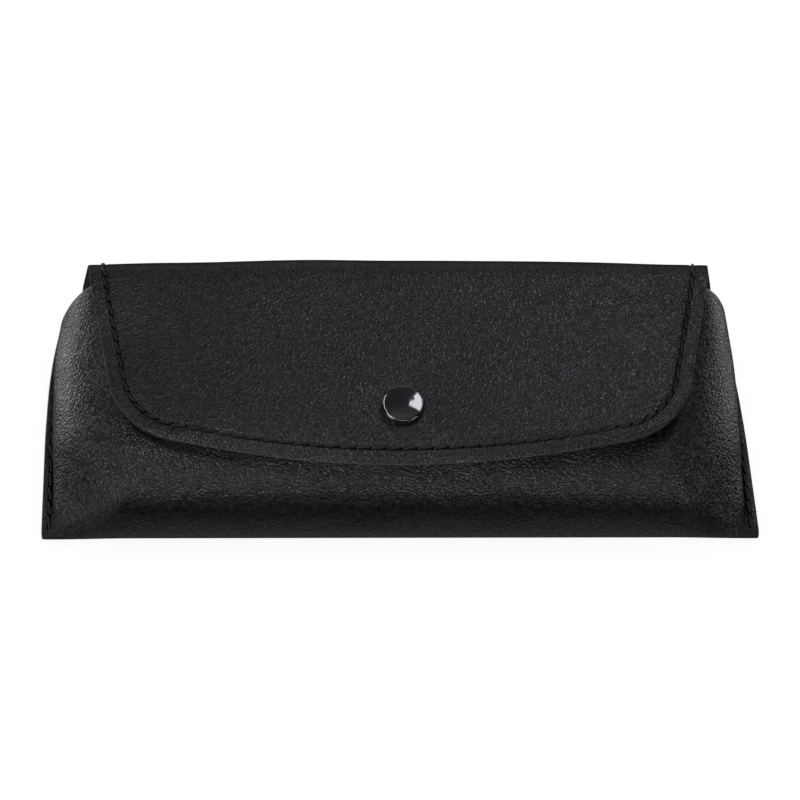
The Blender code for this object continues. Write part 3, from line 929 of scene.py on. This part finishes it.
def on_bend(obj, node, first_body, second_body, start, end):
    """This object shows a CAD node, with its place baked into its mesh."""
    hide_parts(node)
    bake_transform(obj)


def add_board(name, node, body, points, normals, sheet):
    far = np.full(points.shape[:2], FAR)
    obj = layer(name, points, normals, sheet, far, LINING_DEPTH, LINING_DEPTH + BOARD, BOARD_LOOKS)
    on_body(obj, node, body)


# ---- flap pieces


def outline_distance(grid, outline):
    """Distance from each sheet point to the nearest point of the outline and of its mirror image."""
    both = np.concatenate([outline, outline * [-1, 1]])
    flat = grid.reshape(-1, 2)
    nearest = np.full(len(flat), 1e9)
    for chunk in np.array_split(both, max(1, len(both) // 40)):
        nearest = np.minimum(nearest, gaps(flat, chunk).min(axis=1))
    return nearest.reshape(grid.shape[:2])


def dense(points, step=0.25):
    length = np.linalg.norm(np.diff(points, axis=0), axis=1).sum()
    return resample(points, np.linspace(0, 1, int(length / step)))


def build_flap():
    line = mirrored(dense(flap_outline(FLAP_STITCH_INSET), 0.5))
    places, normals_there = strip_point(line[:, 0], line[:, 1]), strip_normal(line[:, 0], line[:, 1])
    lengths, pitch = run_of(places)
    for name, inset, top, thick, looks, node, fine, coarse in (
        ("flap_leather", 0.0, 0.0, LEATHER, SHEET_LOOKS, "flap_outer", 0.4, 1.5),
        ("flap_inner_lining", LINING_INSET, DEEP_LINING, LINING, LINING_LOOKS, "flap_lining", 1.2, 3.0),
    ):
        grid = flap_grid(inset, fine, coarse)
        x, s = grid[..., 0], grid[..., 1]
        points, normals = strip_point(x, s), strip_normal(x, s)
        edge = np.minimum(outline_distance(grid, dense(flap_outline(inset))), FAR)
        edge[0, 1:-1] = FAR
        seam = None
        if name == "flap_leather":
            seam = seam_field(grid, line, lengths, pitch)
            points = points - normals * groove(seam[..., 1])[..., None]
        obj = layer(name, points, normals, grid, edge, top, top + thick, looks, (True, False), seam)
        on_bend(obj, node, *FRONT_BEND)

    board = flap_grid(6.0, 3.0, 4.0)
    on_flat = (board[..., 1] > S_FLAP_ROOT + 3.5).all(axis=1)
    board = board[int(np.argmax(on_flat)) :]
    x, s = board[..., 0], board[..., 1]
    add_board("flap_stiffener", "flap_board", "flap", strip_point(x, s), strip_normal(x, s), board)

    obj = stitches("flap_stitches", places, normals_there, 7)
    on_bend(obj, "flap_thread", *FRONT_BEND)


# ---- back and band pieces


# Half-width of the back below the split, where the pouch's piece of the sheet carries on.
BOTTOM_HALF = 87.4


def strip_grid(inset, s_low, s_high, fine, coarse, step):
    """Sheet coordinates of a grid over the strip between two places s, and its half-width there."""
    us = edge_spacing(160.0, fine, coarse, 5.0) * 2 - 1
    ss = np.linspace(s_low, s_high, max(2, int((s_high - s_low) / step)))
    half = strip_half(ss) - inset
    x = us[None, :] * half[:, None]
    s = np.broadcast_to(ss[:, None], x.shape)
    return np.stack([x, s], -1), half


def back_seam_x(s, side):
    half = np.where(s < S_SPLIT, BOTTOM_HALF, strip_half(np.maximum(s, S_SPLIT)))
    return side * (half - back_seam_inset(s))


def back_seam_inset(s):
    return np.interp(s, [S_BACK_BEND - 8, S_BACK_BEND + 6], [SEAM_STITCH_INSET, FLAP_STITCH_INSET])


def build_back():
    run = np.arange(S_SPLIT - 9.5, 0.0, 0.5)
    lengths, pitch = run_of(strip_point(back_seam_x(run, 1), run))
    for name, inset, thick, looks, node, fine, coarse, step in (
        ("back_leather", 0.0, LEATHER, SHEET_LOOKS, "band_outer", 0.5, 2.5, 0.8),
        ("back_inner_lining", LINING_INSET, LINING, LINING_LOOKS, "band_lining", 1.2, 4.0, 1.0),
    ):
        grid, half = strip_grid(inset, S_SPLIT, 0.0, fine, coarse, step)
        x, s = grid[..., 0], grid[..., 1]
        points, normals = strip_point(x, s), strip_normal(x, s)
        edge = half[:, None] - np.abs(x)
        if name == "back_leather":
            away = np.abs(edge - back_seam_inset(s))
            seam = np.stack([np.interp(s, run, lengths) / pitch, away], -1)
            points = points - normals * groove(away, 0.38)[..., None]
            top = 0.0
        else:
            seam = None
            on_flange = smoothstep(4.6, 3.4, edge) * smoothstep(S_BACK_BEND - 4, S_BACK_BEND - 7, s)
            top = (DEEP_LINING + (LINING_DEPTH - DEEP_LINING) * on_flange)[..., None]
        obj = layer(name, points, normals, grid, edge, top, top + thick, looks, (True, True), seam)
        on_bend(obj, node, *BACK_BEND)

    for side, side_name in ((-1, "left"), (1, "right")):
        x = back_seam_x(run, side)
        lift = np.interp(run, [S_BACK_BEND - 6, S_BACK_BEND], [-0.30, 0.0])
        normals = strip_normal(x, run)
        places = strip_point(x, run) + normals * lift[:, None]
        obj = stitches(f"back_stitches_{side_name}", places, normals, 40 + side)
        on_bend(obj, f"band_thread_{side_name}", *BACK_BEND)


# ---- pouch pieces


def pouch_columns(inset):
    """Cross places c from left to right: fine on the flange and round its foot, coarser over the middle."""
    flange = 3.0 - np.array([0.0, 0.06, 0.14, 0.26, 0.4, 0.52, 0.62, 0.72, 0.81, 0.88, 0.94])
    flank = 2.0 - np.concatenate([np.linspace(0.0, 0.2, 9), np.linspace(0.2, 1.0, 25)[1:]])
    top = np.linspace(1.0, 0.0, 30)[1:]
    right = np.concatenate([flange, flank, top])
    edge = 3.0 - inset / FLANGE_WIDTH
    right = right[right <= edge + 1e-9]
    if right[0] < edge - 1e-9:
        right = np.concatenate([[edge], right])
    return np.concatenate([-right, right[:-1][::-1]])


def pouch_sheet_mm(points):
    """Flat sheet millimetres of a grid of points, and how far each row is from the mouth."""
    middle = points.shape[1] // 2
    down = run_along(points[:, middle])
    steps = np.linalg.norm(np.diff(points, axis=1), axis=2)
    across = np.concatenate([np.zeros((len(points), 1)), np.cumsum(steps, axis=1)], 1)
    across = across - across[:, [middle]]
    along = np.broadcast_to(-200.0 - down[:, None], across.shape)
    return np.stack([across, along], -1), (down[-1] - down)[:, None]


def build_pouch():
    seam_rows = np.linspace(8.3, LAST_ROW - 0.15, 200)
    lengths, pitch = run_of(pouch_surface(np.full(seam_rows.shape, SEAM_C), seam_rows))
    # Rows of the mesh: the bottom, the fold with the front's lower half, and the rest of the front.
    vs = np.concatenate([np.linspace(0, 2, 8)[:-1], np.linspace(2, 11, 64)[:-1], np.linspace(11, LAST_ROW, 60)])
    for name, inset, thick, looks, node in (
        ("front_leather", 0.0, LEATHER, FRONT_LOOKS, "pouch_shell"),
        ("front_inner_lining", LINING_INSET, LINING, LINING_LOOKS, "pouch_lining"),
    ):
        c, v = np.meshgrid(pouch_columns(inset), vs)
        points = pouch_surface(c, v)
        normals = grid_normals(points)
        normals[vs <= LAST_FLAT_ROW] = (0.0, 0.0, -1.0)
        sheet, from_mouth = pouch_sheet_mm(points)
        place = np.abs(c)
        edge = np.where(place > 2, (3 - place) * FLANGE_WIDTH - inset, FAR)
        edge = np.minimum(edge, from_mouth)
        if name == "front_leather":
            away = np.where(v > seam_rows[0], np.abs(place - SEAM_C) * FLANGE_WIDTH, NO_SEAM)
            seam = np.stack([np.interp(v, seam_rows, lengths) / pitch, away], -1)
            points = points - normals * groove(away, 0.16, 0.6)[..., None]
            top = 0.0
        else:
            seam = None
            deep = smoothstep(3.0, 1.0, v) * smoothstep(2.9, 2.0, place)
            top = (LINING_DEPTH + (DEEP_LINING - LINING_DEPTH) * deep)[..., None]
        obj = layer(name, points, normals, sheet, edge, top, top + thick, looks, (True, False), seam)
        on_body(obj, node, "pouch")

    for side, side_name in ((-1, "left"), (1, "right")):
        line = pouch_surface(np.full(seam_rows.shape, side * SEAM_C), seam_rows)
        normals = np.zeros_like(line)
        normals[:, 2] = 1.0
        obj = stitches(f"seam_stitches_{side_name}", line, normals, 90 + side)
        on_body(obj, f"seam_thread_{side_name}", "pouch")

    low, high = corners("back_board")
    x, y = np.meshgrid(np.linspace(low[0], high[0], 12), np.linspace(low[1], high[1], 6))
    points = np.stack([x, y, np.zeros_like(x)], -1)[::-1]
    normals = np.zeros_like(points)
    normals[..., 2] = -1.0
    add_board("back_stiffener", "back_board", "pouch", points, normals, np.stack([x, y], -1))


# ---- snap


# Profiles of the snap's pieces: (radius, height above the flap's face).
CAP_PROFILE = (
    (0.0, 2.14), (1.5, 2.11), (3.0, 2.01), (4.15, 1.87), (4.50, 1.80), (4.68, 1.84), (4.90, 1.75), (5.07, 1.45),
    (5.1, 0.8), (5.07, 0.35), (4.9, 0.12), (1.3, 0.12), (1.3, -2.9), (2.1, -2.9), (2.1, -3.05), (0.0, -3.05),
)
SOCKET_PROFILE = (
    (1.75, -2.35), (4.2, -2.35), (4.55, -2.6), (4.7, -3.0), (4.7, -4.1), (4.5, -4.55), (4.1, -4.75),
    (2.3, -4.75), (2.3, -4.45), (3.7, -4.45), (3.7, -3.65), (2.5, -3.65), (2.5, -2.8), (1.75, -2.8),
)
STUD_PROFILE = (
    (0.0, -3.3), (1.2, -3.32), (1.75, -3.45), (1.93, -3.6), (1.5, -4.05), (1.5, -4.8), (1.8, -5.0),
    (3.8, -5.0), (4.0, -5.2), (4.0, -5.4), (1.3, -5.4), (1.3, -4.15), (0.0, -4.15),
)
RIVET_PROFILE = (
    (0.0, -4.4), (0.9, -4.4), (1.0, -4.6), (1.0, -7.25), (3.8, -7.25), (4.0, -7.4), (3.9, -7.6), (3.2, -7.7),
    (0.0, -7.7),
)
SNAP_SHARP_DEG = 38


def turned(name, profile, look, node, body, steps):
    """A round piece on the snap's axis, from its profile."""
    mesh = bpy.data.meshes.new(name)
    verts = [(radius * MM, 0.0, height * MM) for radius, height in profile]
    edges = [(k, k + 1) for k in range(len(profile) - 1)]
    if profile[0][0] > 0 and profile[-1][0] > 0:
        edges.append((len(profile) - 1, 0))
    mesh.from_pydata(verts, edges, [])
    obj = add_object(name, mesh)
    screw = obj.modifiers.new("turn", "SCREW")
    screw.axis = "Z"
    screw.steps = steps
    screw.render_steps = steps
    screw.use_merge_vertices = True
    screw.merge_threshold = 0.00001
    bpy.context.view_layer.update()
    made = bpy.data.meshes.new_from_object(obj.evaluated_get(bpy.context.evaluated_depsgraph_get()))
    obj.modifiers.clear()
    obj.data = made
    made.transform(Matrix.Translation((0.0, SNAP_Y * MM, FLAP_Z * MM)))
    bm = bmesh.new()
    bm.from_mesh(made)
    bmesh.ops.recalc_face_normals(bm, faces=bm.faces)
    bm.to_mesh(made)
    bm.free()
    made.materials.append(look)
    made.polygons.foreach_set("use_smooth", np.full(len(made.polygons), True))
    made.set_sharp_from_angle(angle=math.radians(SNAP_SHARP_DEG))
    on_body(obj, node, body)


def rounded(profile, radius, steps=3):
    """The same profile with its corners rounded a little."""
    points = [np.array(p, float) for p in profile]
    result = [tuple(points[0])]
    for before, here, after in zip(points, points[1:], points[2:]):
        a, b = before - here, after - here
        reach = min(radius, 0.4 * np.linalg.norm(a), 0.4 * np.linalg.norm(b))
        start, end = here + unit(a) * reach, here + unit(b) * reach
        for k in range(steps + 1):
            t = k / steps
            result.append(tuple((1 - t) ** 2 * start + 2 * t * (1 - t) * here + t * t * end))
    result.append(tuple(points[-1]))
    return result


def build_snap():
    for name, profile, radius, look, node, body, steps in (
        ("press_cap", CAP_PROFILE, 0.09, ENAMEL_LOOK, "snap_cap", "flap", 96),
        ("press_socket", SOCKET_PROFILE, 0.12, STEEL_LOOK, "snap_socket", "flap", 72),
        ("press_stud", STUD_PROFILE, 0.12, STEEL_LOOK, "snap_stud", "pouch", 72),
        ("press_rivet", RIVET_PROFILE, 0.12, STEEL_LOOK, "stud_rivet", "pouch", 72),
    ):
        turned(name, rounded(profile, radius), look, node, body, steps)
    for side in ("left", "right"):
        low, high = corners(f"socket_wire_{side}")
        middle = (low + high) / 2
        half = (high[1] - low[1]) / 2 - 0.1
        line = [(middle[0], middle[1] + half * k, middle[2]) for k in (-1, -0.6, -0.2, 0.2, 0.6, 1)]
        verts, faces = tube(line, (high[0] - low[0]) / 2, 12, 0.12)
        obj = add_mesh(f"spring_wire_{side}", np.array(verts), faces, [STEEL_LOOK])
        obj.data.set_sharp_from_angle(angle=math.radians(50))
        on_body(obj, f"socket_wire_{side}", f"wire_{side}")


# ---- studio


# Pale surfaces round the object: (name, azimuth from +X, elevation, radius, softness, brightness), in degrees.
SOFT_PATCHES = (
    ("left_back_sweep", 140, -12, 12, 13, 2.9),
    ("right_back_sweep", 36, -15, 9, 12, 2.1),
    ("back_sweep", 90, 12, 12, 20, 0.4),
    ("back_wall", 90, 50, 20, 16, 0.06),
    ("left_front_floor", 215, -8, 8, 12, 1.3),
    ("right_front_floor", 305, -6, 8, 14, 0.35),
    ("ceiling", 0, 90, 8, 20, 0.15),
    ("front_floor", 270, -62, 14, 20, 0.27),
)
# Studio lights one metre away: (name, azimuth, elevation, width and height in metres, brightness).
SOFTBOXES = (
    ("back_softbox", 60, 55, 0.26, 0.34, 3.6),
    ("overhead_left_softbox", 175, 70, 0.32, 0.32, 5.0),
    ("front_softbox", 268, 55, 0.50, 0.16, 4.4),
    ("left_front_softbox", 205, 27, 0.44, 0.40, 2.8),
    ("right_front_softbox", 322, 30, 0.38, 0.34, 4.4),
    ("front_left_softbox", 240, 48, 0.26, 0.26, 1.5),
)
AMBIENT = 0.004
LIGHT_TINT = (1.0, 0.94, 1.05)


def heading(azimuth, elevation):
    az, el = math.radians(azimuth), math.radians(elevation)
    return (math.cos(el) * math.cos(az), math.cos(el) * math.sin(az), math.sin(el))


def surroundings(n, direction):
    """Brightness of the surroundings in a direction: soft round patches of light, added up."""
    total = AMBIENT
    for _, azimuth, elevation, radius, soft, brightness in SOFT_PATCHES:
        toward = heading(azimuth, elevation)
        facing = n.add("VectorMath", {"operation": "DOT_PRODUCT"})
        n.put(facing, "0", direction)
        n.put(facing, "1", toward)
        rim, core = math.cos(math.radians(radius + soft)), math.cos(math.radians(radius))
        patch = n.ranged(facing.outputs["Value"], rim, core, 0.0, brightness, True)
        total = n.plus(total, patch)
    return total


def floor_material():
    """Plain white floor: evenly lit to the camera, with a faint contact shadow.

    The leather sees the soft patches of light in it, as it does in the world round it.
    """
    n = Nodes("floor_white")
    incoming = n.add("NewGeometry").outputs["Incoming"]
    away = n.add("VectorMath", {"operation": "SCALE"}, Scale=-1.0)
    n.put(away, "0", incoming)
    lit = surroundings(n, away.outputs[0])
    near = n.add("AmbientOcclusion", {"samples": 8}, Distance=0.010)
    shade = n.ranged(near.outputs["AO"], 0.0, 1.0, 0.90, 1.02)
    mix = n.add("Mix", {"data_type": "FLOAT"})
    n.put(mix, "0", n.add("LightPath").outputs["Is Camera Ray"])
    n.put(mix, "2", lit)
    n.put(mix, "3", shade)
    glow = n.add("Emission", Strength=mix.outputs[0])
    n.tree.links.new(glow.outputs[0], n.tree.nodes["Material Output"].inputs["Surface"])
    return n.material


def light_world(world):
    n = Nodes.of_tree(world.node_tree)
    direction = n.add("TexCoord").outputs["Generated"]
    background = n.tree.nodes["Background"]
    background.inputs["Color"].default_value = (*LIGHT_TINT, 1.0)
    n.put(background, "Strength", surroundings(n, direction))


def area_light(name, direction, size, radiance):
    """A soft rectangular light one metre from the object, this bright per square metre and steradian."""
    data = bpy.data.lights.new(name, "AREA")
    data.shape = "RECTANGLE"
    data.size, data.size_y = size
    data.energy = radiance * math.pi * size[0] * size[1]
    data.color = LIGHT_TINT
    obj = add_object(name, data)
    obj.location = Vector(direction).normalized()
    obj.rotation_euler = (-Vector(direction)).to_track_quat("-Z", "Y").to_euler()
    obj.visible_camera = False


CAMERA_AZIMUTH = -3.08
CAMERA_ELEVATION = 60.25
CAMERA_ROLL = 2.65
CAMERA_DISTANCE = 0.6253
CAMERA_TARGET = Vector((0.0, 0.0, 0.012))
CAMERA_LENS = 114.1
CAMERA_SHIFT = (-0.0009, 0.0041)
FLOOR_HALF = 3.0
FLOOR_Z = -0.0006


def build_studio():
    scene = bpy.context.scene
    bm = bmesh.new()
    bmesh.ops.create_grid(bm, x_segments=8, y_segments=8, size=FLOOR_HALF)
    mesh = bpy.data.meshes.new("floor")
    bm.to_mesh(mesh)
    bm.free()
    mesh.materials.append(floor_material())
    floor = add_object("floor", mesh)
    floor.location = (0.0, 0.0, FLOOR_Z)
    floor.visible_diffuse = False

    scene.world = scene.world or bpy.data.worlds.new("studio")
    scene.world.use_nodes = True
    light_world(scene.world)

    for name, azimuth, elevation, width, height, brightness in SOFTBOXES:
        area_light(name, heading(azimuth, elevation), (width, height), brightness)

    camera_data = bpy.data.cameras.new("camera")
    camera_data.lens = CAMERA_LENS
    camera_data.sensor_width = 36.0
    camera_data.shift_x, camera_data.shift_y = CAMERA_SHIFT
    camera_data.clip_start = 0.01
    camera = add_object("camera", camera_data)
    azimuth, elevation, roll = (math.radians(a) for a in (CAMERA_AZIMUTH, CAMERA_ELEVATION, CAMERA_ROLL))
    level = math.cos(elevation)
    back = Vector((math.sin(azimuth) * level, -math.cos(azimuth) * level, math.sin(elevation)))
    right = (-back).cross(Vector((0, 0, 1))).normalized()
    up = right.cross(-back)
    rolled_right = right * math.cos(roll) + up * math.sin(roll)
    rolled_up = up * math.cos(roll) - right * math.sin(roll)
    matrix = Matrix((rolled_right, rolled_up, back)).transposed().to_4x4()
    matrix.translation = CAMERA_TARGET + back * CAMERA_DISTANCE
    camera.matrix_world = matrix
    scene.camera = camera
    scene.view_settings.view_transform = "Standard"


build_flap()
build_back()
build_pouch()
build_snap()
build_studio()
